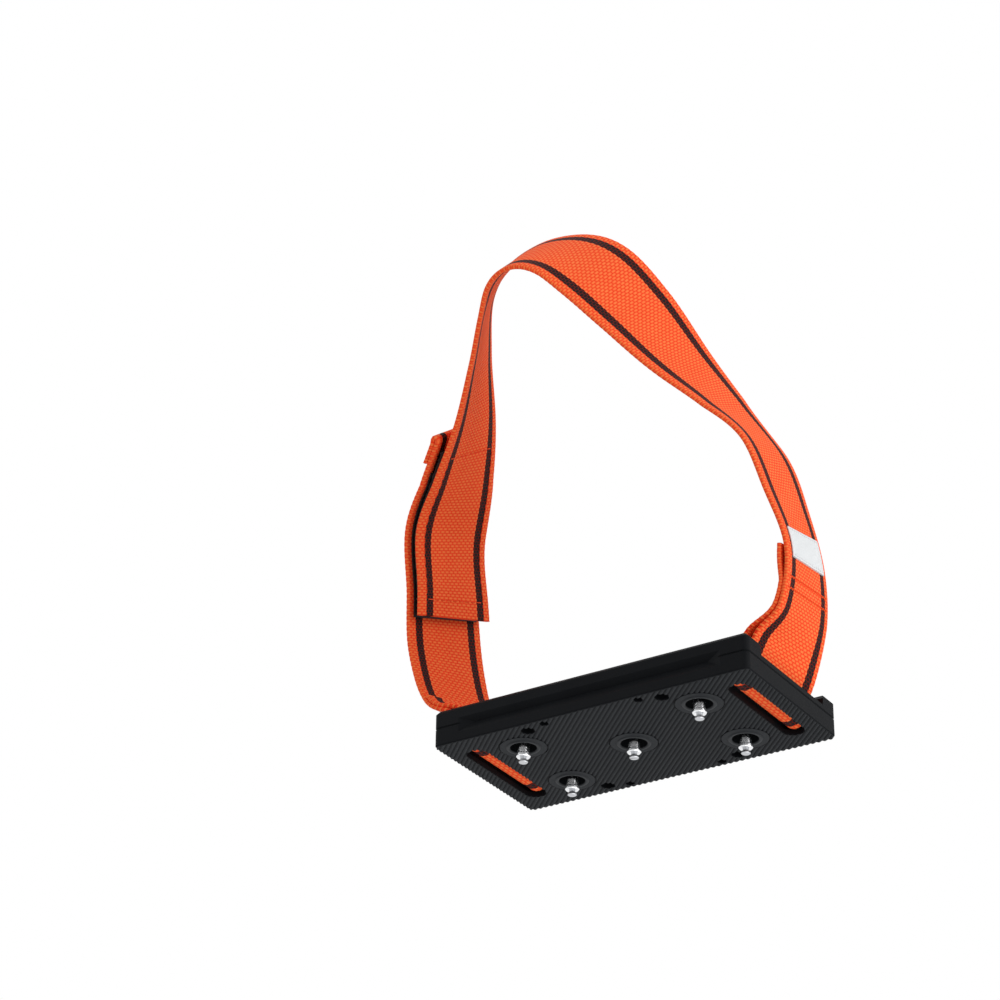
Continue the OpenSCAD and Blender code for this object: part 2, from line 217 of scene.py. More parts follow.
# In metres: half a side of the floor, and then the order of its corners
FLOOR_HALF = 1.5
FLOOR_ROUND = ((-1, -1), (1, -1), (1, 1), (-1, 1))
floor_mesh = bpy.data.meshes.new("floor")
floor_corners = [(sx * FLOOR_HALF, sy * FLOOR_HALF, FLOOR_Z) for sx, sy in FLOOR_ROUND]
floor_mesh.from_pydata(floor_corners, [], [(0, 1, 2, 3)])
floor = bpy.data.objects.new("floor", floor_mesh)
scene.collection.objects.link(floor)
floor_paint = bpy.data.materials.new("floor_paint")
floor_paint.use_nodes = True
floor_paint.node_tree.nodes.clear()
paint = Shade(floor_paint.node_tree)
matt = paint.make("ShaderNodeBsdfDiffuse", None, {"Color": (0.86, 0.86, 0.85, 1)})
clear = paint.make("ShaderNodeBsdfTransparent")
behind = paint.make("ShaderNodeNewGeometry", out="Backfacing")
either_side = paint.make("ShaderNodeMixShader", None, {0: behind, 1: matt, 2: clear})
paint.make("ShaderNodeOutputMaterial", None, {0: either_side})
floor_mesh.materials.append(floor_paint)
floor.visible_diffuse = floor.visible_glossy = False
floor.visible_transmission = floor.visible_shadow = False
print("floor at", round(FLOOR_Z / MM, 2), "mm")

# %% Soft boxes
AIM = np.array([0.0, -0.012, 0.03])
WATTS_AT_1_M = 5.9


def soft_box(name, sideways, upward, towards, far, size, brightness):
    """A square lamp that stands far metres off, along a mix of the camera's axes, and faces the cleat."""
    z_axis = sideways * right + upward * up + towards * back
    z_axis /= np.linalg.norm(z_axis)
    x_axis = np.cross(up if abs(z_axis @ up) < 0.9 else back, z_axis)
    x_axis /= np.linalg.norm(x_axis)
    lamp = bpy.data.lights.new(name, "AREA")
    lamp.size = size
    lamp.energy = WATTS_AT_1_M * far ** 2 * brightness
    stand = bpy.data.objects.new(name, lamp)
    stand.matrix_world = placed(x_axis, np.cross(z_axis, x_axis), z_axis, AIM + far * z_axis)
    scene.collection.objects.link(stand)
    print(name, "gives", round(lamp.energy, 2), "W")


soft_box("key_box", 0.95, 0.5, 0.5, 2.2, 1.6, 0.95)
soft_box("low_box", 0.5, -0.75, 0.6, 1.0, 0.9, 0.58)
soft_box("left_box", -0.9, 0.25, 0.1, 1.2, 0.8, 0.30)
soft_box("top_box", 0.0, 0.9, -0.5, 1.3, 0.9, 0.30)

# %% [markdown]
# ## Making materials
# Each material is one Principled shader. Values that are the same all over are set on its sockets. What
# varies is written as a function that returns the links: the colour, the roughness and the bumps. The
# pattern is placed by Object coordinates on hard pieces, and by the cloth's own attribute on webbing.

# %% Helpers for materials


def rgb(red, green, blue):
    return (red, green, blue, 1.0)


def place(shade):
    return shade.make("ShaderNodeTexCoord", out="Object")


def cloth_place(shade):
    """The attribute lay of a sewn piece: across, along and out, in mm, or along and angle on a thread."""
    return shade.make("ShaderNodeAttribute", {"attribute_name": "lay"}, out="Vector").parts()


def clouds(shade, where, per_metre, detail=3.0):
    """Cloudy values from 0 to 1, so many clouds to the metre."""
    return shade.make("ShaderNodeTexNoise", None, {"Vector": where, "Scale": per_metre, "Detail": detail})


def stretched(shade, where, x, y, z):
    """The same place, with each axis multiplied, which draws clouds out into lines."""
    return shade.make("ShaderNodeVectorMath", {"operation": "MULTIPLY"}, {0: where, 1: (x, y, z)})


def bumped(shade, height, depth):
    """Tilts the surface as if it stood out by height times depth, in mm."""
    return shade.make("ShaderNodeBump", None, {"Strength": 1.0, "Distance": depth * MM, "Height": height})


def finish(name, fixed, varied):
    """A Principled material with fixed socket values, and links from the function varied."""
    material = bpy.data.materials.new(name)
    material.use_nodes = True
    tree = material.node_tree
    surface = next(node for node in tree.nodes if node.type == "BSDF_PRINCIPLED")
    for key, value in fixed.items():
        surface.inputs[key].default_value = value
    for key, value in varied(Shade(tree)).items():
        tree.links.new(value.socket, surface.inputs[key])
    print("material", name, "has", len(tree.nodes), "nodes")
    return material


def dress(material, *names):
    """Gives CAD nodes a material, without touching their meshes."""
    for name in names:
        nodes[name].data.materials.clear()
        nodes[name].data.materials.append(material)


print("CAD nodes to dress or replace:", len(nodes))

# %% [markdown]
# ## Moulded rubber
# The pad is moulded black rubber: nearly black and matt, with a fine skin left by the mould. The crests of
# the tread carry a painted highlight, a paler colour. A noise at a quarter of a millimetre gives the skin,
# and a wide one keeps large faces from looking like one flat colour. The height places the painted
# highlight.

# %% Rubber for both halves of the pad
RUBBER = {"Specular IOR Level": 0.05}
# The painted highlight on the crests fades out between these heights above the crests, in mm
HIGHLIGHT_FROM, HIGHLIGHT_TO = 0.02, 0.26


def rubber_skin(shade):
    where = place(shade)
    height = where.parts()[2]
    grain = clouds(shade, where, 4200, 4.0)
    patch = clouds(shade, where, 120, 3.0)
    # Painted highlight: the crests of the tread are painted paler, and this fades out with the height
    crest_highlight = 1 - height.rise((TREAD_Z + HIGHLIGHT_FROM) * MM, (TREAD_Z + HIGHLIGHT_TO) * MM)
    plain = patch.blend(rgb(0.0045, 0.005, 0.006), rgb(0.008, 0.009, 0.0105))
    crest = (crest_highlight * (0.4 + 0.5 * grain)).blend(plain, rgb(0.038, 0.041, 0.045))
    return {"Base Color": crest, "Roughness": 0.42 + 0.22 * grain + 0.08 * patch,
            "Normal": bumped(shade, grain, 0.035)}


rubber = finish("moulded_rubber", RUBBER, rubber_skin)
dress(rubber, "outsole", "top_pad")

# %% [markdown]
# ## Plated studs, ground tips and steel
# The studs are turned and bright plated, so their shanks carry faint rings; a sine of the height draws
# these, because every stud's axis is upright. The carbide tips are ground and greyer. The bars are drawn
# wire, with lines along their length, and the hidden plate is rolled sheet with lines of the same kind.

# %% Metals
METAL = {"Metallic": 1.0}
FULL_TURN = 6.283
LATHE_PITCH = 0.16


def turned_chrome(shade):
    where = place(shade)
    height = where.parts()[2]
    rings = 0.5 + 0.5 * (height * (FULL_TURN / (LATHE_PITCH * MM))).wave()
    haze = clouds(shade, where, 900, 3.0)
    tint = haze.blend(rgb(0.74, 0.75, 0.77), rgb(0.92, 0.93, 0.94))
    return {"Base Color": tint, "Roughness": 0.10 + 0.10 * haze + 0.04 * rings,
            "Normal": bumped(shade, rings, 0.013)}


def ground_carbide(shade):
    where = place(shade)
    scratch = clouds(shade, stretched(shade, where, 9000, 1500, 1500), 1.0, 4.0)
    tint = scratch.blend(rgb(0.40, 0.41, 0.43), rgb(0.66, 0.67, 0.69))
    return {"Base Color": tint, "Roughness": 0.22 + 0.20 * scratch, "Normal": bumped(shade, scratch, 0.01)}


def drawn_wire(shade):
    lines = clouds(shade, stretched(shade, place(shade), 5000, 120, 5000), 1.0, 3.0)
    tint = lines.blend(rgb(0.42, 0.43, 0.45), rgb(0.64, 0.65, 0.67))
    return {"Base Color": tint, "Roughness": 0.25 + 0.2 * lines, "Normal": bumped(shade, lines, 0.01)}


chrome = finish("plated_stud", METAL, turned_chrome)
carbide = finish("ground_tip", METAL, ground_carbide)
wire = finish("drawn_bar", METAL, drawn_wire)
CORNERS = ("toe_left", "toe_right", "heel_left", "heel_right", "centre")
dress(chrome, *["stud_" + corner for corner in CORNERS])
dress(carbide, *["tip_" + corner for corner in CORNERS])
dress(wire, "right_bar", "left_bar", "insert_plate")

# %% [markdown]
# ## One builder for many small solids
# The ridges, the straps, the stitches and the hooks are all rings of points carried along a line and
# closed at both ends, and the lips of the recesses are joined end to end. So one function takes an array
# of rings, several tubes at once, and makes the mesh. A ring goes round against the clock when the tube
# comes towards the viewer, so the faces point outwards.

# %% Rings to a mesh


def unit(vectors):
    return vectors / np.linalg.norm(vectors, axis=-1, keepdims=True)


def tubes(name, points, material, lay=None, smooth=True, closed=False):
    """Points are (tube, ring, corner, xyz) in mm: neighbours on neighbouring rings make quads. The first
    and last ring of a tube make its two ends, or are neighbours too where the tube is closed."""
    index = np.arange(points[..., 0].size).reshape(points.shape[:3])
    near = index if closed else index[:, :-1]
    far = np.roll(index, -1, axis=1) if closed else index[:, 1:]
    next_near, next_far = np.roll(near, -1, axis=2), np.roll(far, -1, axis=2)
    quads = np.stack([near, next_near, next_far, far], axis=-1).reshape(-1, 4)
    ends = index[:0, 0] if closed else np.concatenate([index[:, 0, ::-1], index[:, -1]])
    mesh = bpy.data.meshes.new(name)
    mesh.from_pydata((points.reshape(-1, 3) * MM).tolist(), [], quads.tolist() + ends.tolist())
    rounded = np.arange(len(quads) + len(ends)) < (len(quads) if smooth else 0)
    mesh.polygons.foreach_set("use_smooth", rounded)
    if lay is not None:
        layer = mesh.attributes.new("lay", "FLOAT_VECTOR", "POINT")
        layer.data.foreach_set("vector", np.broadcast_to(lay, points.shape).astype(np.float32).ravel())
    mesh.materials.append(material)
    mesh.update()
    thing = bpy.data.objects.new(name, mesh)
    scene.collection.objects.link(thing)
    print(name, "has", len(quads) + len(ends), "faces")
    return thing


# %% [markdown]
# ## The ridged tread
# The tread is covered with fine ridges at 45 degrees, one to the millimetre, which stop at the outline,
# at the smooth rings round the studs, at the slots and at the moulding holes. A bump would leave the
# edge straight, and on the real pad the ridges make it serrated. So each ridge is five strips side by
# side, a flat top with two strips of flank on each hand. The strips are cut where the signed distance to
# the tread's border changes sign.

# %% Where the tread has ridges
# In mm: a ridge's height, how far its ends stay inside the pad's sides, and the pad's corner radius
RIDGE_H, SET_BACK, CORNER_R = 0.3, 0.2, 1.1
RING_R, SLOT_R, SLOT_HALF = 5.3, 2.5, 11.7
# Moulding holes, as x, y and radius
LARGE_HOLE, SMALL_HOLE = (16.2, 16.7, 1.55), (11.4, 18.1, 1.0)


def middle_of(name):
    """The middle of a CAD node's box, in mm."""
    return np.mean([np.array(corner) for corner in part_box(name)], axis=0) / MM


def four(x, y, radius):
    """The same circle in each quarter of the tread, as middle and radius."""
    return [(sx * x, sy * y, radius) for sx in (-1, 1) for sy in (-1, 1)]


BASE_Z = TREAD_Z + RIDGE_H
half_l, half_w = np.array(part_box("outsole")[1])[:2] / MM - SET_BACK
stud_x, stud_y = middle_of("stud_heel_right")[:2]
bar_x = middle_of("right_bar")[0]
RINGS = [(0, 0, RING_R)] + four(stud_x, stud_y, RING_R)
ROUNDS = RINGS + four(*LARGE_HOLE) + four(*SMALL_HOLE)


def to_border(x, y):
    """Signed distance to the border, negative on the tread: a rounded oblong, less circles and slots."""
    qx, qy = abs(x) - half_l + CORNER_R, abs(y) - half_w + CORNER_R
    outside = np.hypot(np.maximum(qx, 0), np.maximum(qy, 0))
    edge = outside + np.minimum(np.maximum(qx, qy), 0) - CORNER_R
    slots = SLOT_R - np.hypot(abs(x) - bar_x, np.maximum(abs(y) - SLOT_HALF, 0))
    holes = [radius - np.hypot(x - cx, y - cy) for cx, cy, radius in ROUNDS]
    return np.maximum.reduce([edge, slots, *holes])


print("studs at", np.round([stud_x, stud_y], 2).tolist(), "bars at", round(bar_x, 2))

# %% Cut the ridges and build them
# In mm: from ridge to ridge, half the length of the lines that are walked, and the step on them
PITCH, WALK, STEP = 1.0, 60, 0.05
# How slanted a cut end may be, the shortest ridge, and how deep its low edges sit in the rubber
SLANT, SHORTEST, SUNK = 0.5, 0.2, 0.05
# A ridge's lines across, and its height on each of them
LINES = np.array([-0.5, -0.3, -0.12, 0.12, 0.3, 0.5])
TOPS = np.array([0.06, 0.17, RIDGE_H, RIDGE_H, 0.17, 0.06])
DIAGONAL = np.sqrt(2)
reach = int((half_l + half_w) / DIAGONAL / PITCH)
steps = np.arange(-WALK, WALK, STEP)
pairs, pair_tops = (np.stack([values[:-1], values[1:]], axis=1) for values in (LINES, TOPS))
offsets = (np.arange(-reach, reach + 1)[:, None, None] + pairs) * PITCH
spot_x = (offsets[..., None] + steps) / DIAGONAL
spot_y = (offsets[..., None] - steps) / DIAGONAL
on_tread = to_border(spot_x, spot_y) < 0
count = np.arange(len(steps))
off_before = np.maximum.accumulate(np.where(on_tread, 0, count), axis=-1)
last_off = np.where(on_tread, len(steps) - 1, count)
off_after = np.minimum.accumulate(last_off[..., ::-1], axis=-1)[..., ::-1]
on_both = on_tread.all(axis=2)
ridge, strip, first = np.argwhere(on_both[..., 1:] & ~on_both[..., :-1]).T
final = np.argwhere(on_both[..., :-1] & ~on_both[..., 1:])[:, 2]
middle = (first + final + 1) // 2
low_end = np.maximum(steps[off_before[ridge, strip, :, middle]], steps[first][:, None] - SLANT) + STEP / 2
high_end = np.minimum(steps[off_after[ridge, strip, :, middle]], steps[final][:, None] + SLANT) - STEP / 2
long_enough = (high_end - low_end).min(axis=1) > SHORTEST
run = np.repeat(np.stack([low_end, high_end], axis=1)[long_enough], 2, axis=2)
shift = np.repeat(offsets[ridge, strip][long_enough][:, None], 2, axis=2)
low_edge = np.full((len(strip), 1), -SUNK)
heights = np.hstack([low_edge, pair_tops[strip], low_edge])[long_enough][:, None]
ridge_points = np.stack(np.broadcast_arrays((shift + run) / DIAGONAL, (shift - run) / DIAGONAL,
                                            BASE_Z - heights), axis=-1)
tread = tubes("tread_ridges", ridge_points, rubber, smooth=False)
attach(tread, "pad")

# %% [markdown]
# ## Lips of the recesses
# Each stud stands in a round recess. The mould leaves the recess with a soft, rounded lip, which is a
# little smoother than the tread and catches a curved highlight. The solid has a sharp edge there, so a
# thin ring with an oval section is laid on the edge, half sunk into the rubber.

# %% One closed ring to a recess
LIP_R, LIP_WIDE, LIP_HIGH = 3.3, 0.42, 0.2
LIP_TURNS, LIP_CORNERS = 36, 8
lip_rubber = finish("smooth_rubber", {"Specular IOR Level": 0.14}, rubber_skin)
lip_centres = np.array(RINGS)[:, None, None, :2]
turns = np.linspace(0, 2 * np.pi, LIP_TURNS, endpoint=False)[:, None]
oval = np.linspace(0, 2 * np.pi, LIP_CORNERS, endpoint=False)
lip_r = LIP_R + LIP_WIDE * np.sin(oval)
lip_flat = lip_centres + np.stack([lip_r * np.cos(turns), lip_r * np.sin(turns)], axis=-1)
lip_z = np.broadcast_to((TREAD_Z + LIP_HIGH * np.cos(oval))[:, None], lip_flat.shape[:3] + (1,))
lip_points = np.concatenate([lip_flat, lip_z], axis=-1)
lips = tubes("recess_lips", lip_points, lip_rubber, closed=True)
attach(lips, "pad")

# %% [markdown]
# ## The strap's route
# The strap rises from a bar at each end of the pad, leans out over the sides and meets over the instep.
# Its route is a curve through a few rows: a place, and two angles that say how the webbing is turned
# across. The rows are the ones that the solids were made from, so the cloth lies where the solids are.

# %% A smooth curve through the rows
STRAP_W, LOOP_W, STRAP_T, BAR_R, BAR_CLEAR = 25.4, 26.8, 1.0, 1.5, 0.05
BAR_Z = middle_of("right_bar")[2]
LOOP_MID = BAR_R + BAR_CLEAR + STRAP_T / 2
# Where the webbing leaves the pad, and how far out, forward and up the worn strap goes, in mm
EXIT_OUT, EXIT_RISE = 2.7, 3
LEAN_OUT, CREST_Y, CREST_Z = 11.2, -43.6, 91.1
SHAPE = np.array([
    [0.965, 0.019, 0.121, 14, -4], [1.011, 0.074, 0.25, 13, -8], [0.976, 0.166, 0.382, 12, -5],
    [0.919, 0.281, 0.508, 10, -2], [0.767, 0.405, 0.62, 19, 3], [0.608, 0.554, 0.728, 30, 10],
    [0.462, 0.733, 0.843, 39, 20], [0.329, 0.883, 0.929, 44, 24], [0.179, 0.969, 0.981, 43, 16],
    [0, 1, 1, 44, 0]])
MIRROR = np.array([-1, 1, 1, 1, -1])
low_rows = [[bar_x + LOOP_MID, 0, BAR_Z, 0, 0], [bar_x + LOOP_MID + EXIT_OUT, 0, EXIT_RISE, 0, 0]]
half_route = np.vstack([low_rows, SHAPE * [bar_x + LEAN_OUT, CREST_Y, CREST_Z, 1, 1]])
before = np.array([half_route[1, 0], 0, 2 * BAR_Z - EXIT_RISE, 0, 0])
route = np.vstack([before, half_route, half_route[-2::-1] * MIRROR, before * MIRROR])
LAST = len(route) - 3
# In stations: a small step for slopes, where the worn width starts, and how long it takes to widen
NUDGE = 0.02
WORN_FROM, WIDENING = 3, 2.2


def row_at(u):
    """Catmull-Rom: a cubic between two rows, whose slope at a row is half the step between its
    neighbours. A place on the route is a station: 0 at the right bar, and 1 more at each row."""
    u = np.asarray(u, float)
    i = np.clip(np.floor(u).astype(int), 0, LAST - 1)
    t = (u - i)[..., None]
    a, b, c, d = (route[i + k] for k in range(4))
    square, cube = 2 * a - 5 * b + 4 * c - d, 3 * b - a - 3 * c + d
    return 0.5 * (2 * b + (c - a) * t + square * t ** 2 + cube * t ** 3)


def web_axes(u):
    """Middle, across and outward: across is the row's own direction squared to the heading of the curve."""
    row = row_at(u)
    ahead, behind_it = np.minimum(u + NUDGE, LAST), np.maximum(u - NUDGE, 0)
    heading = unit(row_at(ahead)[..., :3] - row_at(behind_it)[..., :3])
    tip, turn = np.radians(row[..., 3]), np.radians(row[..., 4])
    wide = np.stack([np.cos(tip) * np.sin(turn), np.cos(tip) * np.cos(turn), np.sin(tip)], axis=-1)
    wide = unit(wide - (wide * heading).sum(axis=-1, keepdims=True) * heading)
    return row[..., :3], wide, np.cross(wide, heading)


def eased(k):
    """A smooth rise, 0 up to 0 and 1 from 1 on, that is level at both ends."""
    k = np.clip(k, 0, 1)
    return k * k * (3 - 2 * k)


def width_share(u):
    """The webbing's width as a share of its worn width: greatest at the bars, where nothing stretches it."""
    return 1 + (LOOP_W / STRAP_W - 1) * eased((WORN_FROM - np.minimum(u, LAST - u)) / WIDENING)


def web_point(u, across, out):
    """The point so far across the webbing's middle line, and so far out from it."""
    middle, wide, outward = web_axes(u)
    sideways = (width_share(u) * across)[..., None] * wide
    return middle + sideways + np.asarray(out)[..., None] * outward


walked = row_at(np.arange(0, LAST, 0.01))[:, :3]
route_length = np.linalg.norm(np.diff(walked, axis=0), axis=1).sum()
print("route is", round(route_length, 1), "mm long, bar to bar")

# %% [markdown]
# ## Tails, lifts and even steps
# At a bar the webbing turns back, and its tail is sewn to the leg. So a layer is the route with a lift,
# which says how far out the layer lies at each place. The layers of one strap join into a single path,
# which is then walked in equal steps, so that the weave keeps its scale all along.

# %% Lifts of the layers
# Stations of the instep strap's tail and free end, and of the closure strap's rise from its bar
TAIL_SEAM, TAIL_END, FREE_END, UPRIGHT = 2.4, 3.1, LAST - 3.6, 0.25
LIFT_FROM, LIFT_OVER = 0.3, 2.1
# How far the tail's end stands off, in mm, and the part of a sine that it follows
STAND_OFF, STAND_ARC = 0.7, np.radians(150)
# What lies between the strap and the flap, in mm
PILE_T, GRIP_GAP, HOOK_T, SEWN_GAPS = 0.8, 0.3, 0.8, 0.2
FLAP_OUT = STRAP_T + PILE_T + GRIP_GAP + HOOK_T + SEWN_GAPS
BAR_POINTS, STATION_POINTS, TINY = 90, 250, 1e-6
FOLD, FLAP_END, HEM_START, CLOSURE_TAIL = LAST - 3, LAST - 6.8, LAST - 6.4, LAST - 2


def closing(u, end):
    """From one loop width inside the leg, upright at first, to lying against it at the end."""
    k = 1 - np.maximum(0, u - UPRIGHT) / (end - UPRIGHT)
    return -2 * LOOP_MID + (2 * LOOP_MID - STRAP_T) * (1 - k ** 2)


def tail_lift(u):
    """The instep strap's tail: it closes on the leg at the seam, and its free end stands off a little."""
    free = np.maximum(0, u - TAIL_SEAM) / (TAIL_END - TAIL_SEAM)
    return closing(np.minimum(u, TAIL_SEAM), TAIL_SEAM) - STAND_OFF * np.sin(STAND_ARC * free)


def closure_lift(u):
    """The closure strap: on the route at the bar, and out over hook and pile further up."""
    return FLAP_OUT * eased((LAST - LIFT_FROM - u) / LIFT_OVER)


def closure_tail_lift(u):
    """The closure strap's own tail, which closes on its leg in the same way."""
    return closure_lift(u) + closing(LAST - u, LAST - CLOSURE_TAIL)


def level(lift):
    """A lift that is the same all along."""
    return lambda u: np.full_like(u, lift)


def round_bar(centre_x, first, last):
    """A half turn round a bar, at the webbing's middle: angles from first to last, in degrees."""
    a = np.radians(np.linspace(first, last, BAR_POINTS))
    flat = np.zeros_like(a)
    middle = np.stack([centre_x + LOOP_MID * np.cos(a), flat, BAR_Z + LOOP_MID * np.sin(a)], axis=1)
    return middle, np.stack([flat, flat + LOOP_W / STRAP_W, flat], axis=1)


def layer(first, last, lift):
    """A stretch of the route at its lift, with its across direction, as long as its share of the width."""
    u = np.linspace(first, last, int(abs(last - first) * STATION_POINTS) + 2)
    return web_point(u, np.zeros_like(u), lift(u)), web_axes(u)[1] * width_share(u)[:, None]


def even_path(stretches, step):
    """Joins stretches and walks them in equal steps: middle, across, outward and length so far."""
    points = np.concatenate([stretch[0] for stretch in stretches])
    wide = np.concatenate([stretch[1] for stretch in stretches])
    length = np.r_[0, np.cumsum(np.linalg.norm(np.diff(points, axis=0), axis=1))]
    fresh = np.r_[True, np.diff(length) > TINY]
    points, wide, length = points[fresh], wide[fresh], length[fresh]
    even = np.linspace(0, length[-1], int(round(length[-1] / step)) + 1)
    middle = np.stack([np.interp(even, length, points[:, k]) for k in range(3)], axis=1)
    wide = np.stack([np.interp(even, length, wide[:, k]) for k in range(3)], axis=1)
    heading = unit(np.gradient(middle, axis=0))
    wide = wide - (wide * heading).sum(axis=1, keepdims=True) * heading
    return middle, wide, unit(np.cross(wide, heading)), even


print("flap lies", round(FLAP_OUT, 2), "mm out from the strap's middle")

# %% [markdown]
# ## Woven elastic webbing
# The webbing is a close weave of thick orange yarn over rubber threads, and looks like rows of short pale
# dashes that are moved on by half a dash from row to row. Two black stripes run along it, near the edges.
# In a stripe the yarn is black, two beads to a row, every other row is a little shorter, and red shows
# in the gaps.

# %% Webbing material
# In mm: a bead of orange yarn, a bead of black yarn, and the stripes
BEAD_W, BEAD_L, KNOT_W = 1.6, 0.66, 1.2
STRIPE_AT, STRIPE_HALF, SHORTER = 9.15, 1.24, 0.25


def bead_weave(shade):
    across, along = cloth_place(shade)[:2]
    row = along / BEAD_L
    moved = 0.5 * row.floor()
    column = across / BEAD_W + moved
    x, y = column.fract() - 0.5, row.fract() - 0.5
    bead = (1 - 4 * x * x) * (1 - 4 * y * y)
    pair = (across / KNOT_W + moved).fract() - 0.5
    knot = (1 - 4 * pair * pair) * (1 - 4 * y * y)
    step = SHORTER * moved.fract()
    black = (across.size() - STRIPE_AT).size() + step < STRIPE_HALF
    yarn = clouds(shade, place(shade), 260, 3.0)
    fibre = clouds(shade, place(shade), 2600, 3.0)
    lit = (0.4 * bead + 0.6 * bead.root()) * (0.7 + 0.3 * yarn + 0.3 * fibre)
    orange = lit.blend(rgb(0.92, 0.008, 0.0), rgb(1.0, 0.22, 0.055))
    bound = knot.root() * (1.1 + 0.6 * yarn)
    dark = bound.blend(rgb(0.20, 0.014, 0.004), rgb(0.003, 0.002, 0.003))
    return {"Base Color": black.blend(orange, dark), "Roughness": 0.85 - 0.12 * bead,
            "Normal": bumped(shade, bead.root(), 0.08)}


webbing = finish("elastic_webbing", {"Specular IOR Level": 0.15}, bead_weave)

# %% [markdown]
# ## The instep strap
# One length of webbing makes the tail, the turn under the bar, the leg, the crest and the free end. Its
# cross-section is a flat oblong with rounded edges, and where the weft yarn turns round the edge it makes
# a row of tiny scallops. The sweep carries that section along the even path.

# %% Sweep the webbing
WEB_STEP, SCALLOP, EDGE_BAND = 0.25, 0.06, 0.6


def oblong(width, thick, flats, rounds):
    """A flat oblong with half-round edges, as across and out, once round against the clock."""
    h = thick / 2
    flat = np.linspace(h - width / 2, width / 2 - h, flats)
    a = np.linspace(0, np.pi, rounds + 2)[1:-1]
    across = np.r_[flat, width / 2 - h + h * np.sin(a), flat[::-1], h - width / 2 - h * np.sin(a)]
    out = np.r_[np.full(flats, h), h * np.cos(a), np.full(flats, -h), -h * np.cos(a)]
    return across, out


def sweep(name, path, section, material, scallop=0.0):
    """Point (length, corner) is middle + across * wide + out * outward; the edges swell with the length."""
    middle, wide, outward, length = path
    across, out = section
    edge = np.clip(abs(across) - abs(across).max() + EDGE_BAND, 0, EDGE_BAND) / EDGE_BAND * np.sign(across)
    swell = scallop * np.sin(2 * np.pi * length / (2 * BEAD_L))[:, None] * edge
    spread = across + swell
    points = middle[:, None] + spread[..., None] * wide[:, None] + out[:, None] * outward[:, None]
    drawn = across * (2 - np.linalg.norm(wide, axis=1, keepdims=True))
    lay = np.stack(np.broadcast_arrays(drawn, length[:, None], out), axis=-1)
    return tubes(name, points[None], material, lay[None])


WEB_SECTION = oblong(STRAP_W, STRAP_T, 16, 4)
instep_path = even_path([layer(TAIL_END, 0, tail_lift), round_bar(bar_x, 180, 360),
                         layer(0, FREE_END, np.zeros_like)], WEB_STEP)
instep = sweep("instep_elastic", instep_path, WEB_SECTION, webbing, SCALLOP)
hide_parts("instep_webbing")
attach(instep, "instep_strap")

# %% [markdown]
# ## The closure strap
# On the far side a short strap is looped on the other bar. Its free end is a flap that closes over the
# instep strap, with a hem at its end. It is again one length of webbing, so it is one sweep that crosses
# the fold where the flap peels off.

# %% Hem, flap, leg, bar and tail in one sweep
HEM_POINTS, FOLD_SOFT = 40, 0.2


def hem_turn():
    """A half turn of the cloth beyond the flap's end, from the hem's layer down to the flap's."""
    middle, wide, outward = web_axes(np.array([FLAP_END]))
    heading = np.cross(outward, wide)
    a = np.radians(np.linspace(90, -90, HEM_POINTS))[:, None]
    pivot = middle + (FLAP_OUT + STRAP_T / 2) * outward
    turned = pivot + STRAP_T / 2 * (np.sin(a) * outward - np.cos(a) * heading)
    return turned, np.repeat(wide, HEM_POINTS, axis=0)


closure_path = even_path([layer(HEM_START, FLAP_END, level(FLAP_OUT + STRAP_T)), hem_turn(),
                          layer(FLAP_END, FOLD, level(FLAP_OUT)), layer(FOLD, LAST, closure_lift),
                          round_bar(-bar_x, 180, 360),
                          layer(LAST, CLOSURE_TAIL, closure_tail_lift)], WEB_STEP)
closure = sweep("closure_elastic", closure_path, WEB_SECTION, webbing, SCALLOP)
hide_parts("closure_webbing", "flap_webbing")
fold_ends = np.array([FOLD - FOLD_SOFT, FOLD + FOLD_SOFT])
fold_middle = web_point(fold_ends, np.zeros(2), np.full(2, FLAP_OUT)) * MM
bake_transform(closure)
print("fold at", np.round(fold_middle.mean(axis=0) / MM, 2).tolist(), "mm")

# %% [markdown]
# ## The label
# A blank white woven label is sewn over the strap on one side. It is a thin sweep of its own, with a fine
# weave. Its colour is painted a little grey in the gaps between the yarns, as shade, which is what makes
# cloth look different from paper.

# %% Label tape
LABEL_FROM, LABEL_TO, LABEL_W, LABEL_T = 2.84, 3.4, 20.4, 0.36
WEFT_W, WARP_L = 0.32, 0.26


def tape_weave(shade):
    across, along = cloth_place(shade)[:2]
    weft, warp = (across / WEFT_W).fract() - 0.5, (along / WARP_L).fract() - 0.5
    yarn = (1 - 3.2 * weft * weft) * (1 - 3.2 * warp * warp)
    soft = clouds(shade, place(shade), 300, 3.0)
    # Painted shade: the gaps between the yarns are painted grey
    tint = (yarn * (0.75 + 0.4 * soft)).blend(rgb(0.64, 0.66, 0.67), rgb(0.88, 0.90, 0.91))
    return {"Base Color": tint, "Roughness": 0.75 - 0.15 * yarn, "Normal": bumped(shade, yarn, 0.05)}


white_tape = finish("white_tape", {"Sheen Weight": 0.1}, tape_weave)
label_path = even_path([layer(LABEL_FROM, LABEL_TO, level(STRAP_T / 2 + 0.2))], 0.3)
label_section = oblong(LABEL_W, LABEL_T, 16, 3)
label = sweep("blank_label", label_path, label_section, white_tape, 0.02)
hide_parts("label")
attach(label, "instep_strap")

# %% [markdown]
# ## Hook and pile
# The flap holds by hook and pile. The pile is a mat of fine loops, so its outer face is pushed up and down
# at random, from a seeded generator that gives the same mat each time. The hooks are moulded in rows, and
# each is a small bent bar of a few faces, because there are hundreds of them.

# %% Pile mat
PATCH_W = 22.4
PILE_FROM, PILE_TO = LAST - 6.6, LAST - 3.8
# In mm: the mat's lift and thickness, from where on it has loops, and how high they are
MAT_LIFT, MAT_T, MAT_TOP = STRAP_T / 2 + 0.45, 0.86, 0.4
LOOP_LOW, LOOP_HIGH = 0.35, 0.75


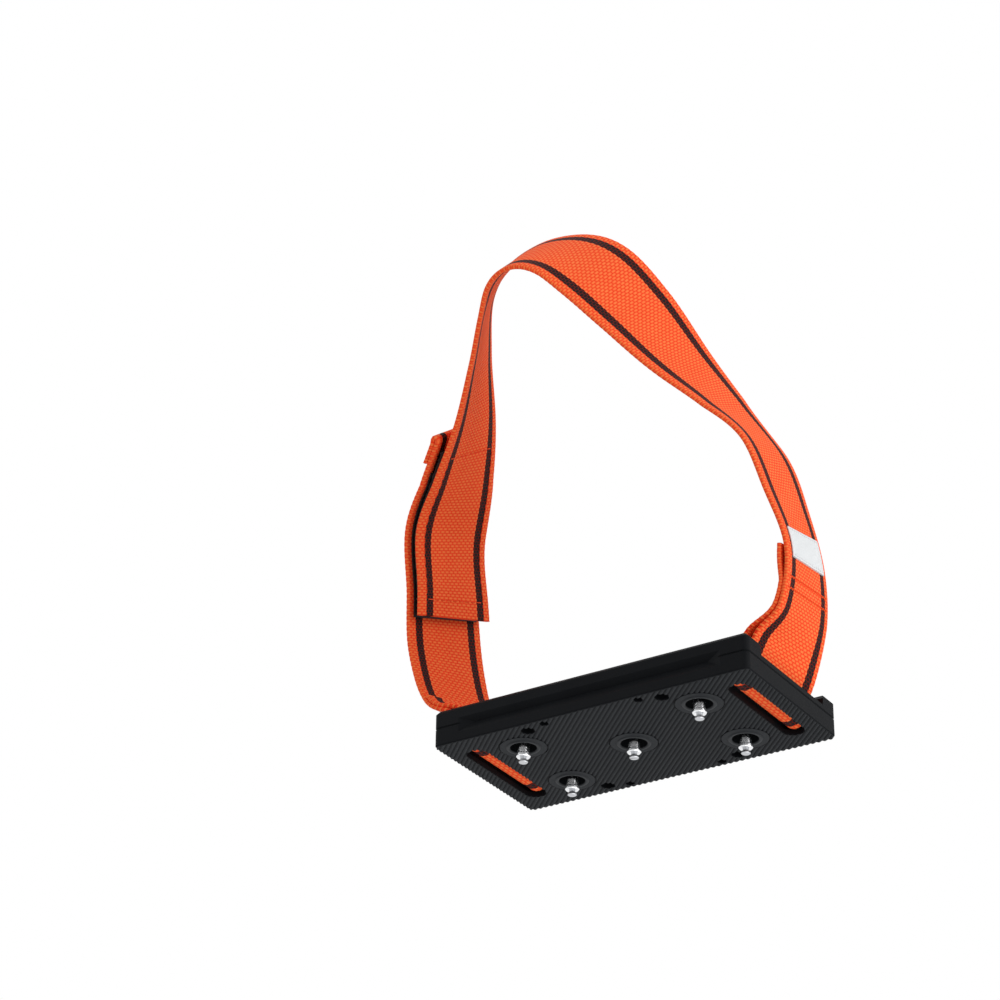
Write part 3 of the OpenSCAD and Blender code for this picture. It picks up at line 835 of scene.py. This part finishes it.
def loop_mat(shade):
    where = place(shade)
    fuzz = clouds(shade, where, 3800, 4.0)
    tint = fuzz.blend(rgb(0.004, 0.004, 0.005), rgb(0.030, 0.030, 0.032))
    return {"Base Color": tint, "Roughness": 0.9 + 0.1 * fuzz, "Normal": bumped(shade, fuzz, 0.25)}


loops = finish("loop_pile", {"Specular IOR Level": 0.1, "Sheen Weight": 0.1}, loop_mat)
middle, wide, outward, length = even_path([layer(PILE_FROM, PILE_TO, level(MAT_LIFT))], 0.35)
across, out = oblong(PATCH_W, MAT_T, 64, 3)
lumps = np.random.default_rng(7).uniform(LOOP_LOW, LOOP_HIGH, (len(length), len(out)))
raised = out + lumps * (out > MAT_TOP)
mat_points = middle[:, None] + across[:, None] * wide[:, None] + raised[..., None] * outward[:, None]
pile = tubes("pile_mat", mat_points[None], loops)
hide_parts("pile_patch")
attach(pile, "instep_strap")

# %% Hook rows
# A hook's bend as forward and out, in mm; a hook hangs from the flap, so out is negative
HOOK_BEND = np.array([[0, 0.05], [0, -0.2], [0.03, -0.38], [0.13, -0.48], [0.24, -0.46], [0.3, -0.36]])
HOOK_FROM, HOOK_TO = LAST - 6.2, LAST - 3.6
BACK_LIFT, BACK_T, ROOT = FLAP_OUT - STRAP_T / 2 - 0.2, 0.34, 0.16
HOOK_REACH, HOOK_COLUMNS, HOOK_R = 10.2, 14, 0.09


def hook_plastic(shade):
    where = place(shade)
    flow = clouds(shade, where, 700, 3.0)
    tint = flow.blend(rgb(0.010, 0.010, 0.011), rgb(0.028, 0.028, 0.030))
    return {"Base Color": tint, "Roughness": 0.35 + 0.2 * flow, "Normal": bumped(shade, flow, 0.03)}


plastic = finish("hook_plastic", {"Specular IOR Level": 0.12}, hook_plastic)
back_path = even_path([layer(HOOK_FROM, HOOK_TO, level(BACK_LIFT))], 0.4)
backing = sweep("hook_backing", back_path, oblong(PATCH_W, BACK_T, 12, 3), plastic)
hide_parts("hook_patch")
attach(backing, "closure_flap")
middle, wide, outward = (part[4:-3:4] for part in back_path[:3])
columns = np.linspace(-HOOK_REACH, HOOK_REACH, HOOK_COLUMNS)
root = (middle[:, None] + columns[:, None] * wide[:, None] - ROOT * outward[:, None]).reshape(-1, 3)
wide, outward = (np.repeat(part, HOOK_COLUMNS, axis=0) for part in (wide, outward))
lean = np.cross(outward, wide) * np.where(np.arange(len(root)) % 2, 1, -1)[:, None]
bend = root[:, None] + HOOK_BEND[:, :1] * lean[:, None] + HOOK_BEND[:, 1:] * outward[:, None]
bend_heading = unit(np.gradient(bend, axis=1))
bend_side = unit(np.cross(lean, outward))[:, None]
bend_out = np.cross(bend_heading, bend_side)
corner_a, corner_b = np.array([[1, 1], [-1, 1], [-1, -1], [1, -1]]).T * HOOK_R
hook_points = (bend[:, :, None] + corner_a[:, None] * bend_side[:, :, None]
               + corner_b[:, None] * bend_out[:, :, None])
hooks = tubes("hook_rows", hook_points, plastic)
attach(hooks, "closure_flap")

# %% [markdown]
# ## Sewing
# Threads hold the tails, the label, the patches and the hem. A stitch is a short length of thread whose
# ends dip into the cloth, so each is a tube of five rings with its middle bowed out. A seam is a line on
# the cloth that is cut into stitches of one pitch each.

# %% Stitches from lines
# The thread's twist and the gap at a stitch's end, in mm, and how many points a line and a ring have
TWIST_PITCH, STITCH_GAP, LINE_POINTS, THREAD_CORNERS = 0.4, 0.15, 400, 6


def twisted_thread(low, high):
    def varied(shade):
        along, angle = cloth_place(shade)[:2]
        twist = 0.5 + 0.5 * ((along / TWIST_PITCH + angle) * FULL_TURN).wave()
        return {"Base Color": twist.blend(low, high), "Roughness": 0.7 - 0.15 * twist,
                "Normal": bumped(shade, twist, 0.04)}
    return varied


orange_thread = finish("orange_thread", {"Specular IOR Level": 0.1},
                       twisted_thread(rgb(0.80, 0.045, 0.006), rgb(1.0, 0.13, 0.035)))
white_thread = finish("white_thread", {"Sheen Weight": 0.1},
                      twisted_thread(rgb(0.5, 0.5, 0.5), rgb(0.82, 0.82, 0.82)))


def seam(u, across, lift, pitch):
    """A line on the cloth cut into stitches: where each starts and ends, and the way out of the cloth."""
    line = web_point(u, across, lift)
    outward = web_axes(u)[2] * np.sign(lift)[:, None]
    length = np.r_[0, np.cumsum(np.linalg.norm(np.diff(line, axis=0), axis=1))]
    number = max(1, int(length[-1] / pitch))
    first = (length[-1] - number * pitch) / 2 + np.arange(number) * pitch

    def at(where, values):
        return np.stack([np.interp(where, length, values[:, k]) for k in range(3)], axis=1)

    starts, ends = at(first + STITCH_GAP, line), at(first + pitch - STITCH_GAP, line)
    return starts, ends, at(first + pitch / 2, outward)


def stitches(name, seams, thick, material, body):
    """Ring r of a stitch is a circle round start + (end - start) * t, bowed out in the middle."""
    start, end, outward = (np.concatenate([one[k] for one in seams]) for k in range(3))
    t = np.array([0, 0.15, 0.5, 0.85, 1])[:, None]
    girth = np.array([0.5, 0.9, 1, 0.9, 0.5])[:, None] * thick / 2
    bow = np.array([-0.9, 0.2, 0.45, 0.2, -0.9])[:, None] * thick / 2
    heading = unit(end - start)
    out = unit(outward - (outward * heading).sum(axis=1, keepdims=True) * heading)
    aside = np.cross(heading, out)
    middle = start[:, None] + (end - start)[:, None] * t + out[:, None] * bow
    a = np.arange(THREAD_CORNERS) * 2 * np.pi / THREAD_CORNERS
    ring = np.cos(a)[:, None] * out[:, None] + np.sin(a)[:, None] * aside[:, None]
    points = middle[:, :, None] + girth[:, None] * ring[:, None]
    long = np.linalg.norm(end - start, axis=1)[:, None, None] * t
    angle = np.arange(THREAD_CORNERS) / THREAD_CORNERS
    lay = np.stack(np.broadcast_arrays(long, angle, 0.0), axis=-1)
    piece = tubes(name, points, material, lay)
    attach(piece, body)
    return piece


def straight(u0, u1, v0, v1, lift):
    """A line from one place on the cloth to another, on its outer or its inner face."""
    u, across = np.linspace(u0, u1, LINE_POINTS), np.linspace(v0, v1, LINE_POINTS)
    return u, across, np.full(LINE_POINTS, lift) if np.isscalar(lift) else lift(u)


def frame_seams(u0, u1, half_width, lift, pitch):
    """Four seams round an oblong patch."""
    corners = [(u0, u0, -half_width, half_width), (u1, u1, -half_width, half_width),
               (u0, u1, -half_width, -half_width), (u0, u1, half_width, half_width)]
    return [seam(*straight(*corner, lift), pitch) for corner in corners]


def zigzag(u0, u1, places, lean, pace, lift, pitch):
    """At each place across, one stitch from u0 to u1 that leans, and one back that ends a pace on."""
    there = [seam(*straight(u0, u1, v, v + lean, lift), pitch) for v in places]
    return there + [seam(*straight(u1, u0, v + lean, v + pace, lift), pitch) for v in places]


FACE = STRAP_T / 2
SEAM_HALF, PATCH_PITCH, THREAD_T = 10.4, 2.2, 0.28
print("thread lies on the cloth", FACE, "mm out from its middle")

# %% Seams of the instep strap
# The tail has two rows of zigzag, each on the strap's outer face and on the tail's inner face
zig = np.arange(-11.6, 11.2, 1.2)
tail_rows = [(u, lift) for u in (2.25, 2.45) for lift in (FACE, -1.5 * STRAP_T)]
tail_seams = [one for u, lift in tail_rows for one in zigzag(u, u + 0.07, zig, 0.5, 1.2, lift, 1.0)]
stitches("loop_seam", tail_seams, THREAD_T, orange_thread, "instep_strap")
label_rows = (LABEL_FROM + 0.04, LABEL_TO - 0.04)
label_seams = [seam(*straight(u, u, -9.8, 9.8, FACE + LABEL_T), 1.4) for u in label_rows]
stitches("label_seam", label_seams, 0.2, white_thread, "instep_strap")
pile_seams = frame_seams(PILE_FROM + 0.1, PILE_TO - 0.1, SEAM_HALF, -FACE, PATCH_PITCH)
stitches("pile_seam", pile_seams, THREAD_T, orange_thread, "instep_strap")

# %% Seams of the closure strap
hook_seams = frame_seams(HOOK_FROM + 0.1, HOOK_TO - 0.1, SEAM_HALF, FLAP_OUT + FACE, PATCH_PITCH)
hem_row = HEM_START - 0.12
hook_seams += [seam(*straight(hem_row, hem_row, -11.6, 11.6, FLAP_OUT + 3 * FACE), 2.0)]
stitches("flap_seam", hook_seams, THREAD_T, orange_thread, "closure_flap")
zig = np.arange(-11.2, 11.2, 0.8)
tack_seams = zigzag(LAST - 2, LAST - 1.8, zig, 0.4, 0.8, lambda u: closure_lift(u) + FACE, 2.0)
tack = stitches("closure_zigzag", tack_seams, 0.3, orange_thread, "closure_strap")
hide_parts("closure_tack")

# %% [markdown]
# ## Size
# The dressed cleat has to stay the size of the solids.
